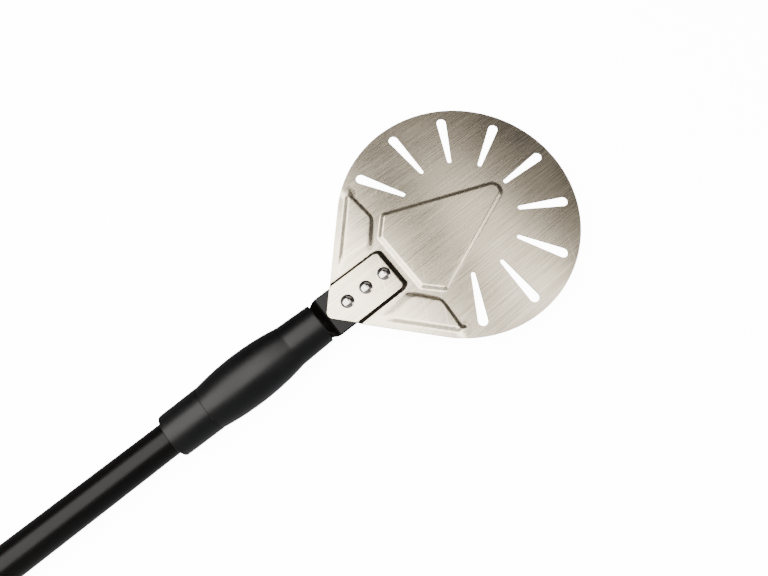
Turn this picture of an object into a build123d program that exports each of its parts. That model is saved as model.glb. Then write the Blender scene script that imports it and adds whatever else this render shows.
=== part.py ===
from build123d import *
import os
from math import radians, sin, cos, tan

# Round perforated turning peel for a pizza oven. Millimetres, +Z up.
# The origin is the centre of the round head, on the flat underside of its sheet (z = 0).
# +X runs along the handle towards the far tip of the head, and the rivet heads face +Z.

# Head: a disc with two straight edges that meet at the rounded handle corner
HEAD_R = 115.0             # 230 mm round head
SHEET = 1.2                # stainless sheet
CORNER_HALF_ANGLE = 48.0   # angle of each straight edge to the handle
CORNER_R = 6.0

# Nine teardrop slots, like the spokes of a wheel
SLOT_COUNT = 9
SLOT_STEP = 30.0
SLOT_INNER = 56.0          # distance of the narrow end from the centre
SLOT_OUTER = 105.5         # distance of the wide end from the centre
SLOT_NARROW_R = 2.0
SLOT_WIDE_R = 4.6

# Panels pressed up out of the sheet. Each corner is (x, y) halfway up the wall.
PANEL_RISE = 2.0
PANEL_WALL_ANGLE = 45.0
PANEL_CORNER_R = 3.5
ARROW_TIP = (47.0, 6.0)
ARROW_SHOULDER = (-57.5, 45.2)
ARROW_HEEL = (-73.3, 29.0)
SIDE_OUTER = (-69.0, 83.0)
SIDE_INNER = (-67.5, 49.7)
SIDE_HEEL = (-84.5, 30.8)
SIDE_TAIL = (-116.5, 30.8)

# Raised pocket for the tube's tongue, open at the handle corner
POCKET_RISE = 3.3
POCKET_HALF_WIDTH = 21.2
POCKET_FRONT = -82.5
POCKET_REAR = -175.0       # past the end of the sheet
POCKET_WALL_ANGLE = 70.0
POCKET_CORNER_R = 4.5

# Handle tube, pressed flat at its front end
TUBE_R = 14.0              # 28 mm tube
TUBE_WALL = 1.5
TUBE_REAR = -1262.0
RAMP_REAR = -166.5         # last round section
RAMP_FRONT = -153.0        # first flat section
RAMP_STEPS = 6
TONGUE_THICK = 3.2
TONGUE_WIDTH = 39.6
TONGUE_FRONT = -85.5
TONGUE_CORNER_R = 8.0
SEAM = 0.02                # the ramp starts this far inside the round tube's surface
AXIS_Z = POCKET_RISE - TONGUE_THICK / 2         # the tube's axis is level with its tongue

# Rivets that hold the head on the tongue
RIVET_X = {"front": -92.0, "middle": -112.0, "rear": -132.0}
RIVET_HEAD_R = 6.1
RIVET_HEAD_RISE = 3.0
RIVET_HEAD_BRIM = 0.5
RIVET_SHANK_R = 2.6
RIVET_TAIL_R = 4.6
RIVET_TAIL_RISE = 1.4

# Grips: a barrel between two straight collars. The sliding one is drawn fully forward.
GRIP_FRONT = -161.0
GRIP_LENGTH = 141.0
REAR_GRIP_FRONT = -1124.0
REAR_GRIP_LENGTH = 138.0
FRONT_COLLAR = 31.0
REAR_COLLAR = 33.0
FRONT_RIM_R = 18.4
FRONT_KINK_R = 19.3
BARREL_R = 23.0
REAR_KINK_R = 19.4
REAR_RIM_R = 18.7
RIM_ROUND = 0.7
GRIP_BORE_R = 16.2         # of the sliding grip, which clears the tube

# Split nylon rings that centre the sliding grip on the tube
RING_INSET = 9.5           # from the grip's rim to the ring
RING_WIDTH = 8.0
RING_OUTER_R = 17.1
RING_SPLIT = 14.0          # degrees left open
RUNNING_GAP = 0.05         # radial gap of a running fit
GROOVE_SIDE_GAP = 0.1

# End cap with its hanging eye, and the pin through it
CAP_PLUG_LENGTH = 34.0
CAP_PLUG_CHAMFER = 1.5
CAP_FLANGE = 5.0
CAP_FLANGE_R = 18.0
CAP_ROUND = 2.0
EYE_LENGTH = 30.0
EYE_WIDTH = 27.0
EYE_THICK = 9.0
EYE_HOLE_R = 6.5
PIN_R = 2.0
PIN_FROM_END = 18.0
PIN_RECESS = 0.6


def across(x):
    """Plane across the tube at x, with its own X across the handle and its own Y up."""
    return Plane(origin=(x, 0, AXIS_Z), x_dir=(0, 1, 0), z_dir=(1, 0, 0))


def band(x_rear, x_front, radius):
    """Solid cylinder about the tube's axis."""
    return extrude(across(x_rear) * Circle(radius), x_front - x_rear)


def cross_bar(radius, length):
    """Bar across the handle where the rear grip and the end cap are pinned."""
    return Pos(TUBE_REAR + PIN_FROM_END, 0, AXIS_Z) * Rot(90, 0, 0) * Cylinder(radius, length)


def rivet_holes():
    return [Pos(x, 0, 0) * Cylinder(RIVET_SHANK_R, 4 * POCKET_RISE) for x in RIVET_X.values()]


def other_side(corners):
    return [(x, -y) for x, y in reversed(corners)]


def blade_outline():
    half = radians(CORNER_HALF_ANGLE)
    touch_x = -HEAD_R * sin(half)
    touch_y = HEAD_R * cos(half)
    corner = Polygon((-HEAD_R / sin(half), 0), (touch_x, -touch_y), (touch_x, touch_y), align=None)
    tip = corner.vertices().sort_by(Axis.X)[0]
    return Circle(HEAD_R) + fillet(tip, CORNER_R)


def slot_outline():
    """Teardrop on the +X axis, narrow end towards the centre."""
    inner = Pos(SLOT_INNER + SLOT_NARROW_R, 0) * Circle(SLOT_NARROW_R)
    outer = Pos(SLOT_OUTER - SLOT_WIDE_R, 0) * Circle(SLOT_WIDE_R)
    return make_hull((inner + outer).edges())


def all_slots():
    first = -SLOT_STEP * (SLOT_COUNT - 1) / 2
    return [Rot(0, 0, first + SLOT_STEP * i) * slot_outline() for i in range(SLOT_COUNT)]


def pressing(corners, corner_r, rise, wall_angle):
    """What one pressed panel adds above the sheet, and what it takes away below."""
    halfway = fillet(Polygon(*corners, align=None).vertices(), corner_r)
    run = rise / tan(radians(wall_angle))
    wall_shift = SHEET * tan(radians(wall_angle) / 2)
    foot = offset(halfway, amount=run / 2)
    inner_foot = offset(halfway, amount=run / 2 - wall_shift)
    raised = extrude(foot, SHEET) + Pos(0, 0, SHEET) * extrude(foot, rise, taper=90 - wall_angle)
    hollow = extrude(inner_foot, rise, taper=90 - wall_angle)
    return raised, hollow


def head_plate():
    """One sheet with an arrow panel, two side panels, the tongue's pocket and nine slots."""
    arrow = [ARROW_TIP, ARROW_SHOULDER, ARROW_HEEL]
    side = [SIDE_OUTER, SIDE_INNER, SIDE_HEEL, SIDE_TAIL]
    pocket = [(POCKET_FRONT, POCKET_HALF_WIDTH), (POCKET_REAR, POCKET_HALF_WIDTH)]
    panels = [arrow + other_side(arrow), side, other_side(side)]
    pressings = [pressing(corners, PANEL_CORNER_R, PANEL_RISE, PANEL_WALL_ANGLE) for corners in panels]
    pressings.append(pressing(pocket + other_side(pocket), POCKET_CORNER_R, POCKET_RISE, POCKET_WALL_ANGLE))
    outline = blade_outline()
    plate = extrude(outline, SHEET)
    for raised, hollow in pressings:
        plate += raised
    plate = plate & extrude(outline, SHEET + POCKET_RISE + 1)
    for raised, hollow in pressings:
        plate -= hollow
    for slot in all_slots():
        plate -= extrude(slot, SHEET)
    for hole in rivet_holes():
        plate -= hole
    return plate


def rivet(x):
    """Domed head on the pocket, shank through pocket and tongue, flattened tail below."""
    seat = SHEET + POCKET_RISE
    brim = seat + RIVET_HEAD_BRIM
    top = seat + RIVET_HEAD_RISE
    tail = POCKET_RISE - TONGUE_THICK
    end = tail - RIVET_TAIL_RISE
    dome_r = (RIVET_HEAD_R ** 2 + (top - brim) ** 2) / (2 * (top - brim))
    half_r = RIVET_HEAD_R / 2
    half_z = top - dome_r + (dome_r ** 2 - half_r ** 2) ** 0.5
    with BuildSketch(Plane.XZ) as section:
        with BuildLine():
            Polyline((0, top), (0, end), (RIVET_TAIL_R, end), (RIVET_TAIL_R, tail), (RIVET_SHANK_R, tail),
                     (RIVET_SHANK_R, seat), (RIVET_HEAD_R, seat), (RIVET_HEAD_R, brim))
            ThreePointArc((RIVET_HEAD_R, brim), (half_r, half_z), (0, top))
        make_face()
    return Pos(x, 0, 0) * revolve(section.sketch, Axis.Z)


def ramp(radius, final_height, final_width):
    """Blends a round bar of that radius into a flat bar, which widens as it loses height."""
    spread = (final_width - final_height) / (2 * radius - final_height)
    sections = []
    for i in range(RAMP_STEPS + 1):
        t = i / RAMP_STEPS
        height = 2 * radius + (final_height - 2 * radius) * t * t * (3 - 2 * t)
        width = height + spread * (2 * radius - height) + SEAM
        sections.append(across(RAMP_REAR + (RAMP_FRONT - RAMP_REAR) * t) * SlotOverall(width, height))
    return loft(sections)


def handle_tube():
    """Round tube whose front end is pressed into a flat, closed tongue."""
    bore_r = TUBE_R - TUBE_WALL
    slit = TONGUE_THICK - 2 * TUBE_WALL
    outside = band(TUBE_REAR, RAMP_REAR, TUBE_R) + ramp(TUBE_R - SEAM, TONGUE_THICK, TONGUE_WIDTH)
    inside = band(TUBE_REAR, RAMP_REAR, bore_r) + ramp(bore_r - SEAM, slit, TONGUE_WIDTH - 2 * TUBE_WALL)
    length = TONGUE_FRONT - RAMP_FRONT
    tongue = extrude(across(RAMP_FRONT) * SlotOverall(TONGUE_WIDTH + SEAM, TONGUE_THICK), length)
    plan = Pos(TONGUE_FRONT - length, 0) * RectangleRounded(2 * length, TONGUE_WIDTH + 1, TONGUE_CORNER_R)
    tongue = tongue & extrude(plan, POCKET_RISE + 1)
    tube = outside + tongue - inside - cross_bar(PIN_R, 4 * TUBE_R)
    for hole in rivet_holes():
        tube -= hole
    return tube


def grip_body(front, length):
    """Solid turned shape of a grip: collar, barrel, collar."""
    front_kink = front - FRONT_COLLAR
    rear_kink = front - length + REAR_COLLAR
    rear = front - length
    with BuildSketch() as section:
        with BuildLine():
            Polyline((rear_kink, REAR_KINK_R), (rear, REAR_RIM_R), (rear, 0), (front, 0),
                     (front, FRONT_RIM_R), (front_kink, FRONT_KINK_R))
            ThreePointArc((front_kink, FRONT_KINK_R), ((front_kink + rear_kink) / 2, BARREL_R),
                          (rear_kink, REAR_KINK_R))
        make_face()
    body = Pos(0, 0, AXIS_Z) * revolve(section.sketch, Axis.X)
    circles = body.edges().filter_by(GeomType.CIRCLE).sort_by(Axis.X)
    return fillet([circles[0], circles[-1]], RIM_ROUND)


def ring_rears():
    """Rear face of each glide ring."""
    front = GRIP_FRONT - RING_INSET - RING_WIDTH
    rear = GRIP_FRONT - GRIP_LENGTH + RING_INSET
    return {"front": front, "rear": rear}


def sliding_grip():
    grip = grip_body(GRIP_FRONT, GRIP_LENGTH)
    grip -= band(GRIP_FRONT - GRIP_LENGTH, GRIP_FRONT, GRIP_BORE_R)
    for x in ring_rears().values():
        grip -= band(x - GROOVE_SIDE_GAP, x + RING_WIDTH + GROOVE_SIDE_GAP, RING_OUTER_R + RUNNING_GAP)
    return grip


def glide_ring(x):
    ring = band(x, x + RING_WIDTH, RING_OUTER_R) - band(x, x + RING_WIDTH, TUBE_R + RUNNING_GAP)
    split_width = 2 * RING_OUTER_R * sin(radians(RING_SPLIT / 2))
    split = Box(RING_WIDTH, split_width, RING_OUTER_R)
    return ring - Pos(x + RING_WIDTH / 2, 0, AXIS_Z - RING_OUTER_R) * split


def rear_grip():
    grip = grip_body(REAR_GRIP_FRONT, REAR_GRIP_LENGTH)
    grip -= band(REAR_GRIP_FRONT - REAR_GRIP_LENGTH, REAR_GRIP_FRONT, TUBE_R)
    return grip - cross_bar(PIN_R, 4 * BARREL_R)


def end_cap():
    """Plug inside the tube, flange against its end, flat hanging eye behind it."""
    plug = band(TUBE_REAR, TUBE_REAR + CAP_PLUG_LENGTH, TUBE_R - TUBE_WALL)
    plug = chamfer(plug.edges().filter_by(GeomType.CIRCLE).sort_by(Axis.X)[-1], CAP_PLUG_CHAMFER)
    back = TUBE_REAR - CAP_FLANGE
    flange = band(back, TUBE_REAR, CAP_FLANGE_R)
    flange = fillet(flange.edges().filter_by(GeomType.CIRCLE).sort_by(Axis.X)[0], CAP_ROUND)
    reach = EYE_LENGTH + CAP_FLANGE / 2
    plan = Pos(back - EYE_LENGTH + reach / 2, 0) * RectangleRounded(reach, EYE_WIDTH, EYE_WIDTH / 2 - 0.5)
    tab = extrude(plan, EYE_THICK / 2, both=True)
    tab = Pos(0, 0, AXIS_Z) * fillet(tab.edges().group_by(Axis.Z)[0] + tab.edges().group_by(Axis.Z)[-1], CAP_ROUND)
    hole = Pos(back - EYE_LENGTH + EYE_WIDTH / 2, 0, AXIS_Z) * Cylinder(EYE_HOLE_R, 2 * EYE_THICK)
    return plug + flange + tab - hole - cross_bar(PIN_R, 4 * TUBE_R)


def build_nodes():
    nodes = {"head_plate": head_plate(), "handle_tube": handle_tube()}
    for place, x in RIVET_X.items():
        nodes["head_rivet_" + place] = rivet(x)
    for place, x in ring_rears().items():
        nodes[place + "_glide_ring"] = glide_ring(x)
    nodes["sliding_grip"] = sliding_grip()
    nodes["rear_grip"] = rear_grip()
    nodes["end_cap"] = end_cap()
    nodes["end_cap_pin"] = cross_bar(PIN_R, 2 * (REAR_RIM_R - PIN_RECESS))
    return nodes


os.makedirs("parts", exist_ok=True)
for name, shape in build_nodes().items():
    export_step(shape, os.path.join("parts", name + ".step"))
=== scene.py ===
import math

import bmesh
import bpy
import numpy as np
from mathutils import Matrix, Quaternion, Vector, geometry


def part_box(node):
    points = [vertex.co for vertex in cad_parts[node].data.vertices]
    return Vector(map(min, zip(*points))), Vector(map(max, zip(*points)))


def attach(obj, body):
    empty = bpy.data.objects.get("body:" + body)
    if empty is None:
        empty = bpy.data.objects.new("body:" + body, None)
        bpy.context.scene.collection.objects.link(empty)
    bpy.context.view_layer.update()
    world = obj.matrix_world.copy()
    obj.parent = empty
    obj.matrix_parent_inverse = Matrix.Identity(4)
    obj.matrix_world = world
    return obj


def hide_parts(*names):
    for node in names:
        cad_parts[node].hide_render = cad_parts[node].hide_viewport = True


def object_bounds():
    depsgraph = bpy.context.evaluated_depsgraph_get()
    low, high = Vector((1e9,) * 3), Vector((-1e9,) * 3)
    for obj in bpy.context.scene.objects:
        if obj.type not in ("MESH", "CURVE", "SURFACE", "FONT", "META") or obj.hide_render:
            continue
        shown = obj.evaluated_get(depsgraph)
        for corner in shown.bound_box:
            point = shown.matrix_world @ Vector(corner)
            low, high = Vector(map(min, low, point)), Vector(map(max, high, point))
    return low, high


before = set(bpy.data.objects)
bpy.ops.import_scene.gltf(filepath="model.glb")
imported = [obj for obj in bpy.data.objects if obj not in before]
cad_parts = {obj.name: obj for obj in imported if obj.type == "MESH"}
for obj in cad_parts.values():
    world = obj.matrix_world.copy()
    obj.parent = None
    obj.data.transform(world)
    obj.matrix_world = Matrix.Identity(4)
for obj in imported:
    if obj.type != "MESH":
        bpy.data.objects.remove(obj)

CAD_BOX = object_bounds()
MM = 0.001

# ---------------------------------------------------------------- places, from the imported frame

RIVET_PLACES = ("front", "middle", "rear")
RIVET_HEAD_R = 6.1 * MM

HEAD_LOW, HEAD_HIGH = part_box("head_plate")
TUBE_LOW, TUBE_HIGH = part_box("handle_tube")
GRIP_LOW, GRIP_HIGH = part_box("sliding_grip")
REAR_GRIP_LOW, REAR_GRIP_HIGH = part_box("rear_grip")
AXIS_Z = (TUBE_LOW.z + TUBE_HIGH.z) / 2
FLOOR_Z = CAD_BOX[0].z
RIVET_X = [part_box("head_rivet_" + place)[0].x + RIVET_HEAD_R for place in RIVET_PLACES]

# ---------------------------------------------------------------- the head and its rivets

HEAD_R = HEAD_HIGH.x
SHEET = 1.2 * MM
CORNER_HALF_ANGLE = math.radians(48)    # between the axis and each straight edge
CORNER_R = 6 * MM
CUT_BEVEL = 0.28 * MM                   # the punched edge is broken by this much

SLOT_COUNT = 9
SLOT_STEP = math.radians(30)
SLOT_INNER = 56 * MM
SLOT_OUTER = 105.5 * MM
SLOT_NARROW_R = 2.0 * MM
SLOT_WIDE_R = 4.6 * MM

# pressed panels: corners halfway up the wall, in millimetres, anticlockwise
ARROW_TIP_R = 7.9
ARROW_TIP_CENTRE = 40.4
ARROW_TIP_TURN = math.radians(69.4)     # half of the turn that the rounded tip makes
ARROW_TAIL = [(-57.5, 45.6), (-73.3, 29.5), (-73.3, -29.5), (-57.5, -45.6)]
SIDE = [(-69.2, 83.8), (-117.9, 30.3), (-84.3, 29.0), (-66.7, 49.9)]
SIDE_RUNS = (5.2, 9.0, 4.4, 3.8)        # widths of its walls: outer edge, pocket, arrow, tip
POCKET = [(-82.5, -21.2), (-82.5, 21.2), (-175, 21.2), (-175, -21.2)]   # open past the corner

PANEL_RISE = 2.2 * MM
PANEL_CORNER_R = 3.5 * MM
ARROW_RUN = 4.6 * MM
POCKET_RISE = 3.3 * MM
POCKET_RUN = 3.3 * MM
POCKET_FRONT_STRETCH = 1.65             # the wall towards the tip is gentler than the side walls
POCKET_CORNER_R = 4.0 * MM
WALL_BLEND = 0.24                       # share of a wall's width that each of its bends takes
PAINTED_SHADE_SHARES = (0.04, 0.96)             # between these the pocket's wall gets painted shade, a near-black colour for its shadow

RIVET_BRIM = 0.55 * MM
RIVET_BRIM_ROUND = 0.25 * MM
RIVET_SHANK_R = 2.6 * MM
RIVET_TAIL_R = 4.6 * MM
RIVET_TAIL_RISE = 1.4 * MM

# ---------------------------------------------------------------- the grips, in millimetres

FRONT_COLLAR, REAR_COLLAR = 31.0, 33.0
FRONT_RIM_R, FRONT_KINK_R, BARREL_R, REAR_KINK_R, REAR_RIM_R = 18.4, 19.3, 23.0, 19.4, 18.7
RIM_ROUND, BORE_ROUND = 0.8, 0.35
COLLAR_STEP = 0.22                      # the rear collar stands this proud of the barrel
STEP_ROUND = (0.2, 0.6)                 # the step's soft edge: its run, its share of the step
GRIP_BORE_R = 16.2
TUBE_R = 14.0
RING_INSET, RING_WIDTH, RING_GROOVE_R = 9.4, 8.2, 17.15

# ---------------------------------------------------------------- fineness of the meshes

SAME_POINT = 1e-7                       # metres; closer points count as one
SLIVER_AREA = 1e-10                     # square metres; below it a triangle is only rounding
RIM_POINTS, NOSE_POINTS, EDGE_STEPS = 420, 15, 62
SLOT_WIDE_POINTS, SLOT_NARROW_POINTS, SLOT_SIDE_STEPS = 19, 13, 29
RIVET_HOLE_POINTS = 32
TIP_POINTS, CONTOUR_CORNER_POINTS, ROUNDED_CORNER_POINTS = 13, 9, 6
WALL_STEP, FLAT_STEP = 1.3 * MM, 3.2 * MM
WALL_GAP, FLAT_GAP = 0.5 * MM, 1.2 * MM     # how near a cut edge inner points may come
LATTICE_ROW = 0.866                     # distance between rows, as a share of the step in a row
HOLE_REACH = 32 * MM                    # further than any hole's border from its middle
# rows of points across a wall, from just outside its foot to just inside its top
WALL_ROWS = (-0.14, 0, WALL_BLEND / 3, WALL_BLEND * 2 / 3, WALL_BLEND, 0.5, 1 - WALL_BLEND,
             1 - WALL_BLEND * 2 / 3, 1 - WALL_BLEND / 3, 1, 1.14)
BESIDE_WALL = (0.64, 1.0 * MM)          # the flat grid keeps off by a share of the wall and a gap
HEAD_SMOOTH, TURNED_SMOOTH = 30, 32     # degrees; sharper edges stay sharp
GRIP_SEGMENTS, RIVET_SEGMENTS = 160, 72
BARREL_POINTS, DOME_POINTS = 44, 15
FRONT_COLLAR_ROWS = (0.3, 2, 8, 18, 28.5)       # millimetres from the barrel
REAR_COLLAR_ROWS = (30.5, 18, 8, 2, 0.45)
BORE_LEAD = 5                           # millimetres from each rim to the bore's first ring

PLAIN, CUT, PAINTED_SHADE = 0, 1, 2    # the head's material slots: faces, punched edges painted dark as shade, pocket walls painted near-black as shade


# ---------------------------------------------------------------- small geometry helpers

def arc(centre, radius, start, end, count):
    """Points on an arc, both ends included."""
    angles = np.linspace(start, end, count)
    return np.stack([centre[0] + radius * np.cos(angles), centre[1] + radius * np.sin(angles)], 1)


def between(start, end, steps):
    """The points that divide a straight line into steps, without its ends."""
    return start + (end - start) * np.linspace(0, 1, steps + 1)[1:-1, None]


def spaced(line, step):
    """A closed line with its long runs divided, so that no step is much longer than step."""
    points = []
    for a, b in zip(line, np.roll(line, -1, axis=0)):
        pieces = max(1, round(float(np.linalg.norm(b - a)) / step))
        points += [a + (b - a) * i / pieces for i in range(pieces)]
    return np.array(points)


def inset_polygon(corners, distance):
    """A convex anticlockwise polygon with its sides moved inwards, by one distance or one each."""
    corners = np.array(corners, float)
    count = len(corners)
    distance = np.broadcast_to(distance, count)
    sides = []
    for i in range(count):
        along = corners[(i + 1) % count] - corners[i]
        inward = np.array([-along[1], along[0]]) / np.linalg.norm(along)
        sides.append((corners[i] + inward * distance[i], along))
    moved = []
    for i in range(count):
        (p, u), (q, v) = sides[i - 1], sides[i]
        t = np.linalg.solve(np.stack([u, -v], 1), q - p)[0]
        moved.append(p + u * t)
    return np.array(moved)


def contour(skeleton, radius, step):
    """Closed line at one distance round a convex anticlockwise polygon, with round corners."""
    line = []
    count = len(skeleton)
    for i in range(count):
        before = skeleton[i] - skeleton[i - 1]
        after = skeleton[(i + 1) % count] - skeleton[i]
        heading, next_heading = math.atan2(before[1], before[0]), math.atan2(after[1], after[0])
        start = heading - math.pi / 2
        turn = (next_heading - heading) % (2 * math.pi)
        line.append(arc(skeleton[i], radius, start, start + turn, CONTOUR_CORNER_POINTS))
    return spaced(np.concatenate(line), step)


def rounded_line(corners):
    """Open or closed profile from (x, r, radius) corners; a radius of 0 keeps the corner sharp."""
    points = []
    count = len(corners)
    for i in range(count):
        x, r, radius = corners[i]
        here = np.array([x, r], float)
        if radius == 0:
            points.append(here)
            continue
        before = np.array(corners[i - 1][:2]) - here
        after = np.array(corners[(i + 1) % count][:2]) - here
        before /= np.linalg.norm(before)
        after /= np.linalg.norm(after)
        half = math.acos(float(np.clip(before @ after, -1, 1))) / 2
        reach = radius / math.tan(half)
        middle = before + after
        centre = here + middle / np.linalg.norm(middle) * radius / math.sin(half)
        first, last = here + before * reach - centre, here + after * reach - centre
        turn = math.atan2(first[0] * last[1] - first[1] * last[0], first @ last)
        base = math.atan2(first[1], first[0])
        points += list(arc(centre, radius, base, base + turn, ROUNDED_CORNER_POINTS))
    return np.array(points)


def signed_distance(points, corners):
    """Distance from a polygon's border, negative inside."""
    inside = np.zeros(len(points), bool)
    nearest = np.full(len(points), np.inf)
    for a, b in zip(corners, np.roll(corners, -1, axis=0)):
        side = b - a
        if not side.any():
            continue
        t = np.clip(((points - a) @ side) / (side @ side), 0, 1)
        nearest = np.minimum(nearest, np.linalg.norm(points - a - t[:, None] * side, axis=1))
        crosses = (a[1] > points[:, 1]) != (b[1] > points[:, 1])
        if side[1]:
            inside ^= crosses & (points[:, 0] < a[0] + (points[:, 1] - a[1]) * side[0] / side[1])
    return np.where(inside, -nearest, nearest)


def wall_profile(t):
    """Height of a pressed wall from 0 at its foot to 1 at its top: bend, slope, bend."""
    b = WALL_BLEND
    slope = 1 / (1 - b)
    t = np.clip(t, 0, 1)
    low = slope * t * t / (2 * b)
    high = 1 - slope * (1 - t) ** 2 / (2 * b)
    return np.where(t < b, low, np.where(t > 1 - b, high, slope * (t - b / 2)))


# ---------------------------------------------------------------- the pressed head

class Pressing:
    """A panel raised out of the sheet. share() says how far up its wall each point is: 0 at the
    foot, 1 at the top, below 0 outside the panel and above 1 on top of it."""

    def height(self, points):
        return self.rise * wall_profile(self.share(points))

    def wall_points(self):
        """Rows of points that follow the wall, close together where it bends."""
        return np.concatenate([self.row(share) for share in WALL_ROWS])

    def near_wall(self, points):
        share, gap = BESIDE_WALL
        distance = np.abs(self.share(points) - 0.5) * self.narrowest
        return distance < self.narrowest * share + gap


class EvenPressing(Pressing):
    """Its walls all have the same width, but for those that face along the handle, which are
    stretch times as wide."""

    def __init__(self, corners, corner_r, rise, run, stretch=1.0):
        self.stretch = np.array([stretch, 1.0])
        self.skeleton = inset_polygon(np.array(corners, float) * MM / self.stretch, corner_r)
        self.corner_r, self.rise, self.narrowest = corner_r, rise, run

    def share(self, points):
        outside = signed_distance(points / self.stretch, self.skeleton) - self.corner_r
        return 0.5 - outside / self.narrowest

    def row(self, share):
        radius = self.corner_r + (0.5 - share) * self.narrowest
        return contour(self.skeleton, radius, WALL_STEP) * self.stretch


class UnevenPressing(Pressing):
    """Its walls differ in width, given for the side after each corner."""
    ROUNDING = 1.0             # corner radius, as a share of the wall's width
    POWER = 4                  # how squarely two walls meet at a corner
    ROW_EXTRA_R, ROW_LEAST_R = 0.2 * MM, 0.4 * MM

    def __init__(self, corners, rise, runs):
        self.corners, self.runs = np.array(corners, float) * MM, np.array(runs) * MM
        self.rise, self.narrowest = rise, self.runs.min()

    def inward(self, points):
        """Distance of each point inside each side, as a share of that side's wall."""
        shares = []
        for a, b, run in zip(self.corners, np.roll(self.corners, -1, axis=0), self.runs):
            along = (b - a) / np.linalg.norm(b - a)
            shares.append(((points - a) @ np.array([-along[1], along[0]])) / run)
        return np.array(shares)

    def share(self, points):
        short = np.maximum(0, self.ROUNDING - self.inward(points))
        return 0.5 + self.ROUNDING - (short ** self.POWER).sum(0) ** (1 / self.POWER)

    def row(self, share):
        moved = inset_polygon(self.corners, (share - 0.5) * self.runs)
        radius = (self.ROUNDING + 0.5 - share) * self.narrowest + self.ROW_EXTRA_R
        radius = max(radius, self.ROW_LEAST_R)
        return spaced(rounded_line([(x, y, radius) for x, y in moved]), WALL_STEP)


def arrow_corners():
    tip = arc((ARROW_TIP_CENTRE, 0), ARROW_TIP_R, -ARROW_TIP_TURN, ARROW_TIP_TURN, TIP_POINTS)
    return [tuple(p) for p in tip] + ARROW_TAIL


def side_pressings():
    """The side panel and its mirror image, whose reversed corners start each side one earlier."""
    outer, pocket, arrow, tip = SIDE_RUNS
    mirrored = [(x, -y) for x, y in reversed(SIDE)]
    return [UnevenPressing(SIDE, PANEL_RISE, SIDE_RUNS),
            UnevenPressing(mirrored, PANEL_RISE, (arrow, pocket, outer, tip))]


ARROW_PRESSING = EvenPressing(arrow_corners(), PANEL_CORNER_R, PANEL_RISE, ARROW_RUN)
POCKET_PRESSING = EvenPressing(POCKET, POCKET_CORNER_R, POCKET_RISE, POCKET_RUN,
                               POCKET_FRONT_STRETCH)
PRESSINGS = [ARROW_PRESSING, *side_pressings(), POCKET_PRESSING]


def pressed_height(points):
    return sum(p.height(points) for p in PRESSINGS)


def head_border(inset):
    """The head's outline: most of a circle, two straight edges and the rounded handle corner."""
    reach = math.pi / 2 + CORNER_HALF_ANGLE
    rim = arc((0, 0), HEAD_R - inset, -reach, reach, RIM_POINTS)
    centre = (-(HEAD_R - CORNER_R) / math.sin(CORNER_HALF_ANGLE), 0)
    nose = arc(centre, CORNER_R - inset, reach, 2 * math.pi - reach, NOSE_POINTS)
    upper = between(rim[-1], nose[0], EDGE_STEPS)
    lower = between(nose[-1], rim[0], EDGE_STEPS)
    return np.concatenate([rim, upper, nose, lower])


def slot_border(angle, inset):
    """One teardrop slot along a spoke, narrow end towards the centre."""
    inner, outer = SLOT_INNER + SLOT_NARROW_R, SLOT_OUTER - SLOT_WIDE_R
    lean = math.asin((SLOT_WIDE_R - SLOT_NARROW_R) / (outer - inner))
    quarter = math.pi / 2
    wide = arc((outer, 0), SLOT_WIDE_R + inset, -quarter - lean, quarter + lean,
               SLOT_WIDE_POINTS)
    narrow = arc((inner, 0), SLOT_NARROW_R + inset, quarter + lean, 3 * quarter - lean,
                 SLOT_NARROW_POINTS)
    up = between(wide[-1], narrow[0], SLOT_SIDE_STEPS)
    down = between(narrow[-1], wide[0], SLOT_SIDE_STEPS)
    line = np.concatenate([wide, up, narrow, down])
    turn = np.array([[math.cos(angle), math.sin(angle)], [-math.sin(angle), math.cos(angle)]])
    return line @ turn


def head_borders(inset):
    """The outline first, then every hole, each moved into the metal by inset."""
    middle = (SLOT_COUNT - 1) / 2
    slots = [slot_border(SLOT_STEP * (i - middle), inset) for i in range(SLOT_COUNT)]
    bores = [arc((x, 0), RIVET_SHANK_R + inset, 0, 2 * math.pi, RIVET_HOLE_POINTS + 1)[:-1]
             for x in RIVET_X]
    return [head_border(inset)] + slots + bores


def clear_of(points, borders, gap):
    """Which points lie on the sheet, at least gap away from its edges."""
    keep = signed_distance(points, borders[0]) < -gap
    for hole in borders[1:]:
        near = np.linalg.norm(points - hole.mean(0), axis=1) < HOLE_REACH
        check = np.where(near & keep)[0]
        keep[check] = signed_distance(points[check], hole) > gap
    return keep


def lattice(step):
    """Staggered grid over the whole head."""
    rows = []
    for i, y in enumerate(np.arange(-HEAD_R, HEAD_R, step * LATTICE_ROW)):
        x = np.arange(HEAD_LOW.x, HEAD_R, step) + (i % 2) * step / 2
        rows.append(np.stack([x, np.full(len(x), y)], 1))
    return np.concatenate(rows)


def longest_edge(points, face):
    """The face as (start, end, opposite corner) of its longest edge."""
    a, b, c = face
    turns = [(a, b, c), (b, c, a), (c, a, b)]
    return max(turns, key=lambda turn: float(np.linalg.norm(points[turn[1]] - points[turn[0]])))


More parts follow.
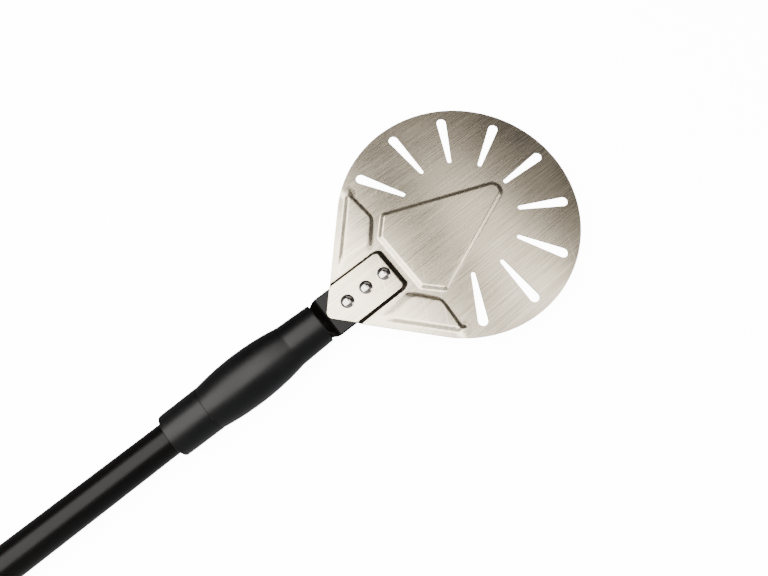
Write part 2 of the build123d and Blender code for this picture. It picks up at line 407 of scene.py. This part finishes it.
def without_slivers(points, faces):
    """Points in a row along a straight edge make needle-thin triangles. Each one is taken out by
    splitting its neighbour at the point on their shared edge, so the mesh stays closed."""
    faces = dict(enumerate(faces))
    owner = {}

    def add(index, face):
        faces[index] = face
        for edge in zip(face, face[1:] + face[:1]):
            owner[edge] = index

    def thin(face):
        a, b, c = (points[i] for i in face)
        area = abs((b[0] - a[0]) * (c[1] - a[1]) - (b[1] - a[1]) * (c[0] - a[0])) / 2
        return area < SLIVER_AREA

    for index, face in list(faces.items()):
        add(index, face)
    waiting = [index for index, face in faces.items() if thin(face)]
    while waiting:
        later = []
        for index in waiting:
            start, end, middle = longest_edge(points, faces[index])
            other = owner.get((end, start))
            if other is not None and thin(faces[other]):
                later.append(index)
                continue
            for edge in ((start, end), (end, middle), (middle, start)):
                del owner[edge]
            del faces[index]
            if other is None:
                continue
            far = next(i for i in faces[other] if i not in (start, end))
            del owner[end, start]
            add(other, (end, middle, far))
            add(index, (middle, start, far))
        if len(later) == len(waiting):
            break
        waiting = later
    return list(faces.values())


def border_edges(borders):
    """Pairs of point numbers that close each border, with the borders' points in one list."""
    edges, start = [], 0
    for border in borders:
        count = len(border)
        edges += [(start + i, start + (i + 1) % count) for i in range(count)]
        start += count
    return edges


def head_piece():
    """The pressed sheet: a fine mesh over the head, raised by the pressings, with both faces and
    its cut edges."""
    borders = head_borders(CUT_BEVEL)
    wall = np.concatenate([p.wall_points() for p in PRESSINGS])
    wall = wall[clear_of(wall, borders, WALL_GAP)]
    flat = lattice(FLAT_STEP)
    for p in PRESSINGS:
        flat = flat[~p.near_wall(flat)]
    flat = flat[clear_of(flat, borders, FLAT_GAP)]
    plan = [Vector(p) for p in np.concatenate(borders + [wall, flat])]
    points, _, faces, origins, _, _ = geometry.delaunay_2d_cdt(plan, border_edges(borders), [], 0,
                                                               SAME_POINT)
    points = np.array([tuple(p) for p in points])
    faces = np.array(without_slivers(points, [tuple(f) for f in faces]))
    faces = faces[clear_of(points[faces].mean(1), borders, 0)]
    where = {old: new for new, olds in enumerate(origins) for old in olds}
    return build_sheet(points, faces, borders, where)


def build_sheet(points, faces, borders, where):
    """Doubles the plan mesh into both faces of the sheet and joins them along every border.
    where gives a border point's number in the plan mesh."""
    count = len(points)
    height = pressed_height(points)
    verts = [np.column_stack([points, height + SHEET]), np.column_stack([points, height])]
    all_faces = [tuple(f) for f in faces] + [tuple(count + i for i in reversed(f)) for f in faces]
    # faces partway up the pocket's wall get the near-black painted shade
    climb = POCKET_PRESSING.share(points[faces].mean(1))
    foot, top = PAINTED_SHADE_SHARES
    looks = [PAINTED_SHADE if foot < share < top else PLAIN for share in climb] + [PLAIN] * len(faces)
    total = 2 * count
    start = 0
    for border, full in zip(borders, head_borders(0)):
        size = len(border)
        ring_height = pressed_height(full)
        verts.append(np.column_stack([full, ring_height + SHEET - CUT_BEVEL]))
        verts.append(np.column_stack([full, ring_height + CUT_BEVEL]))
        upper = [where[start + i] for i in range(size)]
        rings = [upper, list(range(total, total + size)),
                 list(range(total + size, total + 2 * size)), [count + i for i in upper]]
        for high, low in zip(rings, rings[1:]):
            for i in range(size):
                n = (i + 1) % size
                all_faces.append((high[i], low[i], low[n], high[n]))
        total += 2 * size
        start += size
    looks += [CUT] * (len(all_faces) - len(looks))
    return new_mesh("head_pressed_sheet", np.concatenate(verts), all_faces, HEAD_SMOOTH, looks)


# ---------------------------------------------------------------- mesh builders

def new_mesh(name, verts, faces, smooth_angle, looks=None):
    """Closed mesh with outward faces, smooth but for its real edges, with a flat plan as its UV
    map. looks gives each face's material slot."""
    mesh = bpy.data.meshes.new(name)
    mesh.from_pydata([tuple(map(float, v)) for v in verts], [], faces)
    if looks:
        mesh.polygons.foreach_set("material_index", looks)
    work = bmesh.new()
    work.from_mesh(mesh)
    loose = [v for v in work.verts if not v.link_faces]
    bmesh.ops.delete(work, geom=loose, context="VERTS")
    bmesh.ops.recalc_face_normals(work, faces=work.faces)
    uv = work.loops.layers.uv.new("plan")
    for face in work.faces:
        for loop in face.loops:
            loop[uv].uv = (loop.vert.co.x, loop.vert.co.y)
    work.to_mesh(mesh)
    work.free()
    mesh.shade_smooth()
    mesh.set_sharp_from_angle(angle=math.radians(smooth_angle))
    piece = bpy.data.objects.new(name, mesh)
    bpy.context.scene.collection.objects.link(piece)
    return piece


def turned(name, profile, segments, place):
    """Turns a closed profile of (along, radius) points, and place(along, a, b) puts a point beside
    the axis. Profile points on the axis close the shape."""
    verts, faces, rings = [], [], []
    for along, radius in profile:
        if radius < SAME_POINT:
            rings.append([len(verts)] * segments)
            verts.append(place(along, 0, 0))
            continue
        rings.append(list(range(len(verts), len(verts) + segments)))
        for k in range(segments):
            a = 2 * math.pi * k / segments
            verts.append(place(along, radius * math.cos(a), radius * math.sin(a)))
    for one, two in zip(rings, rings[1:] + rings[:1]):
        for k in range(segments):
            n = (k + 1) % segments
            corners = list(dict.fromkeys([one[k], one[n], two[n], two[k]]))
            if len(corners) > 2:
                faces.append(corners)
    return new_mesh(name, verts, faces, TURNED_SMOOTH)


def barrel_points(rear, front):
    """The barrel's circular arc between the two collars."""
    a, b = np.array([rear, REAR_KINK_R]), np.array([front, FRONT_KINK_R])
    crown = np.array([(rear + front) / 2, BARREL_R])
    matrix = 2 * np.array([b - a, crown - a])
    centre = np.linalg.solve(matrix, [b @ b - a @ a, crown @ crown - a @ a])
    radius = float(np.linalg.norm(a - centre))
    start, end = (math.atan2(*(p - centre)[::-1]) for p in (a, b))
    return arc(centre, radius, start, end, BARREL_POINTS)


def grip_piece(name, rear, front, bore_r, grooves):
    """A turned grip: collar, barrel, collar, with rounded rims and the bore inside."""
    rear_kink, front_kink = rear + REAR_COLLAR, front - FRONT_COLLAR
    rear_slope = (REAR_KINK_R - REAR_RIM_R) / REAR_COLLAR
    front_slope = (FRONT_KINK_R - FRONT_RIM_R) / FRONT_COLLAR
    rear_rim = rounded_line([(rear, bore_r, BORE_ROUND), (rear, REAR_RIM_R, RIM_ROUND),
                             (rear_kink, REAR_KINK_R, 0)])
    rear_collar = [[rear_kink - d, REAR_KINK_R + COLLAR_STEP - d * rear_slope]
                   for d in REAR_COLLAR_ROWS]
    run, share = STEP_ROUND
    rear_collar.append([rear_kink - run, REAR_KINK_R + COLLAR_STEP * share])
    front_collar = [[front_kink + d, FRONT_KINK_R - d * front_slope] for d in FRONT_COLLAR_ROWS]
    front_rim = rounded_line([(front_kink, FRONT_KINK_R, 0), (front, FRONT_RIM_R, RIM_ROUND),
                              (front, bore_r, BORE_ROUND), (front - BORE_LEAD, bore_r, 0)])
    line = [rear_rim[:-1], rear_collar, barrel_points(rear_kink, front_kink), front_collar,
            front_rim[1:]]
    if grooves:
        for start in (front - RING_INSET, rear + RING_INSET + RING_WIDTH):
            end = start - RING_WIDTH
            line.append([[start, bore_r], [start, RING_GROOVE_R], [end, RING_GROOVE_R],
                         [end, bore_r]])
    line.append([[rear + BORE_LEAD, bore_r]])
    profile = np.concatenate(line) * MM
    return turned(name, profile, GRIP_SEGMENTS, lambda along, a, b: (along, a, AXIS_Z + b))


def rivet_piece(name, x, low, high):
    """Domed head with a rolled brim, shank, and flattened tail."""
    seat = SHEET + POCKET_RISE
    rise = high - seat
    head, tail_r = RIVET_HEAD_R, RIVET_TAIL_R
    dome_r = (head ** 2 + (rise - RIVET_BRIM) ** 2) / (2 * (rise - RIVET_BRIM))
    centre = high - dome_r
    reach = math.asin((head - RIVET_BRIM_ROUND) / dome_r)
    dome = [(centre + dome_r * math.cos(a), dome_r * math.sin(a))
            for a in np.linspace(0, reach, DOME_POINTS)]
    edge_z = dome[-1][0]
    rim = [(edge_z - 0.10 * MM, head - 0.07 * MM), (edge_z - 0.24 * MM, head),
           (seat + 0.10 * MM, head), (seat, head - 0.10 * MM)]
    tail_top = low + RIVET_TAIL_RISE
    shank = [(seat, RIVET_SHANK_R), (tail_top, RIVET_SHANK_R)]
    tail = [(tail_top, tail_r - 0.15 * MM), (tail_top - 0.15 * MM, tail_r),
            (low + 0.5 * MM, tail_r - 0.05 * MM), (low + 0.15 * MM, tail_r - 0.35 * MM),
            (low, tail_r - 0.9 * MM), (low, 0)]
    profile = dome + rim + shank + tail
    return turned(name, profile, RIVET_SEGMENTS, lambda along, a, b: (x + a, b, along))


# ---------------------------------------------------------------- materials

def material(name):
    """A new material with its node tree and its shader."""
    made = bpy.data.materials.new(name)
    made.use_nodes = True
    return made, made.node_tree, made.node_tree.nodes["Principled BSDF"]


def noise_field(tree, scale, detail, rough):
    """Noise in the object's own metres, with the mapping node that stretches it."""
    place = tree.nodes.new("ShaderNodeTexCoord")
    mapping = tree.nodes.new("ShaderNodeMapping")
    mapping.inputs["Scale"].default_value = scale
    noise = tree.nodes.new("ShaderNodeTexNoise")
    noise.inputs["Scale"].default_value = 1.0
    noise.inputs["Detail"].default_value = detail
    noise.inputs["Roughness"].default_value = rough
    tree.links.new(place.outputs["Object"], mapping.inputs["Vector"])
    tree.links.new(mapping.outputs["Vector"], noise.inputs["Vector"])
    return mapping, noise.outputs["Fac"]


def stretched_noise(tree, stretch, detail, rough=0.6):
    """stretch is how many grains fit in a metre along x, y, z."""
    return noise_field(tree, stretch, detail, rough)[1]


def ramp(tree, source, stops):
    """Colour ramp from (position, grey or colour) stops."""
    node = tree.nodes.new("ShaderNodeValToRGB")
    elements = node.color_ramp.elements
    while len(elements) < len(stops):
        elements.new(0.5)
    for element, (position, colour) in zip(elements, stops):
        element.position = position
        element.color = (colour,) * 3 + (1,) if isinstance(colour, float) else (*colour, 1)
    tree.links.new(source, node.inputs["Fac"])
    return node.outputs["Color"]


def drive(tree, socket, source, stops):
    tree.links.new(ramp(tree, source, stops), socket)


def mixed(tree, mode, factor, a, b):
    """a and b are sockets or colours, and factor is a socket or a number."""
    node = tree.nodes.new("ShaderNodeMix")
    node.data_type = "RGBA"
    node.blend_type = mode
    # 6 and 7 are the colour inputs, and output 2 is the colour result
    for socket, value in ((node.inputs[0], factor), (node.inputs[6], a), (node.inputs[7], b)):
        if isinstance(value, bpy.types.NodeSocket):
            tree.links.new(value, socket)
        elif isinstance(value, float):
            socket.default_value = value
        else:
            socket.default_value = (*value, 1)
    return node.outputs[2]


def bump(tree, shader, source, strength, depth):
    node = tree.nodes.new("ShaderNodeBump")
    node.inputs["Strength"].default_value = strength
    node.inputs["Distance"].default_value = depth
    tree.links.new(source, node.inputs["Height"])
    tree.links.new(node.outputs["Normal"], shader.inputs["Normal"])


def scratches(tree, turn, size, low, high):
    """Sparse fine lines across the grain: 1 on a scratch, 0 elsewhere. turn is in degrees."""
    mapping, noise = noise_field(tree, size, 2.0, 0.5)
    mapping.vector_type = "TEXTURE"
    mapping.inputs["Rotation"].default_value = (0, 0, math.radians(turn))
    return ramp(tree, noise, [(low, 0.0), (high, 1.0)])


def brushed_steel():
    """The blade's faces: long fine grain along the handle, with a few scratches across it."""
    made, tree, shader = material("brushed_stainless")
    fine = stretched_noise(tree, (24, 2400, 2400), 2.0, 0.5)
    broad = stretched_noise(tree, (17, 880, 880), 2.0, 0.45)
    cloud = stretched_noise(tree, (14, 30, 30), 2.0, 0.5)
    grain = ramp(tree, fine, [(0.28, (0.465, 0.412, 0.313)), (0.50, (0.605, 0.538, 0.412)),
                              (0.72, (0.745, 0.668, 0.523))])
    bands = ramp(tree, broad, [(0.34, 0.72), (0.66, 1.0)])
    colour = mixed(tree, "MULTIPLY", 1.0, grain, bands)
    marks = scratches(tree, 62, (0.13, 0.0011, 0.2), 0.685, 0.73)
    colour = mixed(tree, "MIX", marks, colour, (0.78, 0.73, 0.64))
    tree.links.new(colour, shader.inputs["Base Color"])
    rough = ramp(tree, fine, [(0.3, 0.24), (0.7, 0.29)])
    uneven = ramp(tree, cloud, [(0.3, 0.22), (0.7, 0.33)])
    tree.links.new(mixed(tree, "MIX", 0.35, rough, uneven), shader.inputs["Roughness"])
    shader.inputs["Metallic"].default_value = 1.0
    shader.inputs["Anisotropic"].default_value = 0.65
    shader.inputs["Anisotropic Rotation"].default_value = 0.25
    tangent = tree.nodes.new("ShaderNodeTangent")
    tangent.direction_type = "UV_MAP"
    tangent.uv_map = "plan"
    tree.links.new(tangent.outputs["Tangent"], shader.inputs["Tangent"])
    bump(tree, shader, broad, 0.05, 0.00002)
    return made


def fine_metal(name, grains, dark, light, rough, relief):
    """Metal whose colour, roughness (low, high) and relief (strength, depth) follow one noise."""
    made, tree, shader = material(name)
    fine = stretched_noise(tree, grains, 4.0)
    drive(tree, shader.inputs["Base Color"], fine, [(0.3, dark), (0.7, light)])
    drive(tree, shader.inputs["Roughness"], fine, [(0.3, rough[0]), (0.7, rough[1])])
    shader.inputs["Metallic"].default_value = 1.0
    bump(tree, shader, fine, *relief)
    return made


def sheared_edge_painted_shade():
    """The punched edge: darker than the faces as painted shade for the dark outline along the cut,
    and rougher, with upright tear marks.
    """
    return fine_metal("sheared_edge_with_painted_shade", (1400, 1400, 120), (0.035, 0.034, 0.03),
                      (0.10, 0.095, 0.085), (0.45, 0.65), (0.3, 0.00004))


def painted_shade_wall():
    """Painted shade on the pocket's steep walls: a dull, nearly black colour standing in for the
    shadow there, with the punch's marks running up them.
    """
    return fine_metal("pocket_wall_painted_shade", (1100, 1100, 90), (0.010, 0.011, 0.008),
                      (0.034, 0.028, 0.024), (0.35, 0.50), (0.15, 0.00003))


def bright_steel():
    """Rivets and pin."""
    return fine_metal("rivet_steel", (700, 700, 700), (0.36, 0.335, 0.31),
                      (0.50, 0.47, 0.44), (0.09, 0.17), (0.05, 0.00003))


def black_tube():
    """Anodised tube, with its fine noise drawn out along the handle."""
    made, tree, shader = material("black_anodised")
    fine = stretched_noise(tree, (160, 900, 900), 4.0)
    wear = stretched_noise(tree, (12, 60, 60), 3.0)
    drive(tree, shader.inputs["Base Color"], wear,
          [(0.35, (0.0006, 0.0005, 0.0005)), (0.7, (0.0014, 0.0012, 0.0011))])
    drive(tree, shader.inputs["Roughness"], fine, [(0.3, 0.25), (0.7, 0.33)])
    shader.inputs["Specular IOR Level"].default_value = 0.10
    bump(tree, shader, fine, 0.12, 0.00004)
    return made


def moulded_black(name, base, rough):
    """Moulded plastic, half as light again in places, with roughness (low, high)."""
    made, tree, shader = material(name)
    fine = stretched_noise(tree, (2300, 2300, 2300), 3.0)
    broad = stretched_noise(tree, (35, 70, 70), 3.0)
    light = tuple(c * 1.5 for c in base)
    drive(tree, shader.inputs["Base Color"], broad, [(0.35, base), (0.7, light)])
    drive(tree, shader.inputs["Roughness"], broad, [(0.3, rough[0]), (0.7, rough[1])])
    shader.inputs["Specular IOR Level"].default_value = 0.17
    bump(tree, shader, fine, 0.25, 0.00004)
    return made


def give(piece, *looks):
    """Puts the materials in the piece's slots and keeps which faces use which slot."""
    mesh = piece.data
    used = [0] * len(mesh.polygons)
    mesh.polygons.foreach_get("material_index", used)
    mesh.materials.clear()
    for look in looks:
        mesh.materials.append(look)
    mesh.polygons.foreach_set("material_index", [min(i, len(looks) - 1) for i in used])


# ---------------------------------------------------------------- build

def stand_in(piece, node, body, slot, *looks):
    """Puts a finished piece in the place of the CAD's node."""
    give(piece, *looks)
    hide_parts(node)
    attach(piece, body)


def build_pieces():
    steel, rivet, tube = brushed_steel(), bright_steel(), black_tube()
    grip = moulded_black("satin_black_plastic", (0.0010, 0.0010, 0.0011), (0.33, 0.42))
    nylon = moulded_black("black_nylon", (0.003, 0.003, 0.003), (0.5, 0.6))
    # the cut edges' and the pocket walls' materials carry painted shade
    stand_in(head_piece(), "head_plate", "handle", "brushed_steel", steel, sheared_edge_painted_shade(),
             painted_shade_wall())
    for place in RIVET_PLACES:
        node = "head_rivet_" + place
        low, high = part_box(node)
        piece = rivet_piece("rivet_" + place, (low.x + high.x) / 2, low.z, high.z)
        stand_in(piece, node, "handle", "rivet_steel", rivet)
    piece = grip_piece("sliding_grip_moulding", GRIP_LOW.x / MM, GRIP_HIGH.x / MM, GRIP_BORE_R,
                       True)
    stand_in(piece, "sliding_grip", "grip", "black_grip", grip)
    piece = grip_piece("rear_grip_moulding", REAR_GRIP_LOW.x / MM, REAR_GRIP_HIGH.x / MM, TUBE_R,
                       False)
    stand_in(piece, "rear_grip", "handle", "black_grip", grip)
    looks = {"handle_tube": tube, "end_cap": nylon, "front_glide_ring": nylon,
             "rear_glide_ring": nylon, "end_cap_pin": rivet}
    for node, look in looks.items():
        give(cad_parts[node], look)


# ---------------------------------------------------------------- stage, light, camera

FLOOR_GLOW = 12.0
FLOOR_GREY = 0.9
FLOOR_DROP = 0.5 * MM          # keeps the object just clear of it
FLOOR_MIDDLE_X = -0.6
FLOOR_RADII = (0.5, 1, 2, 4, 6)
FLOOR_SEGMENTS = 96
SWEEP_R, SWEEP_ROWS = 2, 12
WALL_HEIGHT = 5

# the world is dark towards one side: (share of the way there, grey)
DARK_SIDE = (0.65, 0.62, 0.42)
WORLD_STOPS = [(0.12, 0.9), (0.45, 0.42), (0.68, 0.22), (0.90, 0.045)]

# name, (low, high) edges in x and in y, height, radiance, tint; all shine straight down
LEVEL_SOFTBOXES = [
    ("overhead", (-1.7, 0.14), (-0.55, 1.15), 1.2, 10.5, (1.0, 0.97, 0.94)),
    ("overhead_strip", (0.40, 0.57), (-0.75, 0.42), 1.2, 4.0, (1.0, 0.96, 0.93)),
    ("overhead_band", (0.14, 0.60), (-0.60, 0.02), 1.25, 2.4, (1.0, 0.96, 0.92)),
]
# name, place, the point it faces, size, radiance, tint
AIMED_SOFTBOXES = [
    ("low_right", (1.0, -1.35, 0.62), (-0.03, -0.04, 0), (0.7, 0.5), 10.0, (1.0, 0.95, 0.93)),
    ("low_back", (1.88, 1.79, 1.52), (0, 0, 0), (3.0, 1.0), 0.65, (1.0, 0.97, 0.94)),
]

CAMERA_PLACE = (-0.18026, -0.1114, 0.48326)
CAMERA_AIM = (-0.03186, 0.00712, 0)
CAMERA_ROLL = math.radians(12.067)
CAMERA_SENSOR, CAMERA_LENS = 36, 26.25      # millimetres
CAMERA_SHIFT = (-0.0599, -0.0755)
CAMERA_CLIP = (0.01, 50)


def make_floor():
    """A pale round floor that sweeps up into a low wall far from the object."""
    made, _, shader = material("pale_floor")
    shader.inputs["Base Color"].default_value = (FLOOR_GREY, FLOOR_GREY, FLOOR_GREY, 1)
    shader.inputs["Roughness"].default_value = 0.95
    shader.inputs["Specular IOR Level"].default_value = 0.0
    shader.inputs["Emission Color"].default_value = (1, 1, 1, 1)
    shader.inputs["Emission Strength"].default_value = FLOOR_GLOW
    z, last = FLOOR_Z - FLOOR_DROP, FLOOR_RADII[-1]
    profile = [(0.0, z)] + [(r, z) for r in FLOOR_RADII]
    profile += [(last + SWEEP_R * math.sin(a), z + SWEEP_R - SWEEP_R * math.cos(a))
                for a in np.linspace(0.1, math.pi / 2, SWEEP_ROWS)]
    profile.append((last + SWEEP_R, z + WALL_HEIGHT))
    count = FLOOR_SEGMENTS
    verts, faces = [], []
    for r, height in profile:
        for k in range(count):
            a = 2 * math.pi * k / count
            verts.append((r * math.cos(a) + FLOOR_MIDDLE_X, r * math.sin(a), height))
    for row in range(len(profile) - 1):
        for k in range(count):
            n = (k + 1) % count
            faces.append((row * count + k, row * count + n,
                          (row + 1) * count + n, (row + 1) * count + k))
    mesh = bpy.data.meshes.new("floor")
    mesh.from_pydata(verts, [], faces)
    mesh.shade_smooth()
    mesh.materials.append(made)
    floor = bpy.data.objects.new("floor", mesh)
    bpy.context.scene.collection.objects.link(floor)
    floor.visible_glossy = False
    floor.visible_diffuse = False


def make_world():
    """Soft surrounding light that falls off towards DARK_SIDE."""
    world = bpy.data.worlds.new("studio")
    world.use_nodes = True
    bpy.context.scene.world = world
    tree = world.node_tree
    place = tree.nodes.new("ShaderNodeTexCoord")
    facing = tree.nodes.new("ShaderNodeVectorMath")
    facing.operation = "DOT_PRODUCT"
    facing.inputs[1].default_value = Vector(DARK_SIDE).normalized()
    tree.links.new(place.outputs["Generated"], facing.inputs[0])
    # from -1 to 1 becomes from 0 to 1
    share = tree.nodes.new("ShaderNodeMath")
    share.operation = "MULTIPLY_ADD"
    share.inputs[1].default_value = 0.5
    share.inputs[2].default_value = 0.5
    tree.links.new(facing.outputs["Value"], share.inputs[0])
    back = tree.nodes["Background"]
    drive(tree, back.inputs["Color"], share.outputs["Value"], WORLD_STOPS)
    back.inputs["Strength"].default_value = 1.0


def area_light(name, place, size, radiance, tint):
    """A rectangular light that the camera doesn't see; radiance is what a mirror shows of it."""
    light = bpy.data.lights.new(name, "AREA")
    light.shape = "RECTANGLE"
    light.size, light.size_y = size
    light.energy = radiance * math.pi * light.size * light.size_y
    light.color = tint
    lamp = bpy.data.objects.new(name, light)
    lamp.location = place
    lamp.visible_camera = False
    bpy.context.scene.collection.objects.link(lamp)
    return lamp


def turn_towards(aim, place):
    """The rotation that points a lamp or a camera at place towards aim."""
    return (Vector(aim) - Vector(place)).to_track_quat("-Z", "Y")


def make_lights():
    for name, x, y, z, radiance, tint in LEVEL_SOFTBOXES:
        middle = ((x[0] + x[1]) / 2, (y[0] + y[1]) / 2, z)
        area_light(name, middle, (x[1] - x[0], y[1] - y[0]), radiance, tint)
    for name, place, aim, size, radiance, tint in AIMED_SOFTBOXES:
        lamp = area_light(name, place, size, radiance, tint)
        lamp.rotation_mode = "QUATERNION"
        lamp.rotation_quaternion = turn_towards(aim, place)


def make_camera():
    """Looks down on the head from the handle's side, at the photograph's angle."""
    data = bpy.data.cameras.new("camera")
    data.sensor_width = CAMERA_SENSOR
    data.lens = CAMERA_LENS
    data.shift_x, data.shift_y = CAMERA_SHIFT
    data.clip_start, data.clip_end = CAMERA_CLIP
    camera = bpy.data.objects.new("camera", data)
    camera.location = CAMERA_PLACE
    camera.rotation_mode = "QUATERNION"
    roll = Quaternion((0, 0, 1), CAMERA_ROLL)
    camera.rotation_quaternion = turn_towards(CAMERA_AIM, CAMERA_PLACE) @ roll
    bpy.context.scene.collection.objects.link(camera)
    bpy.context.scene.camera = camera


build_pieces()
make_floor()
make_world()
make_lights()
make_camera()
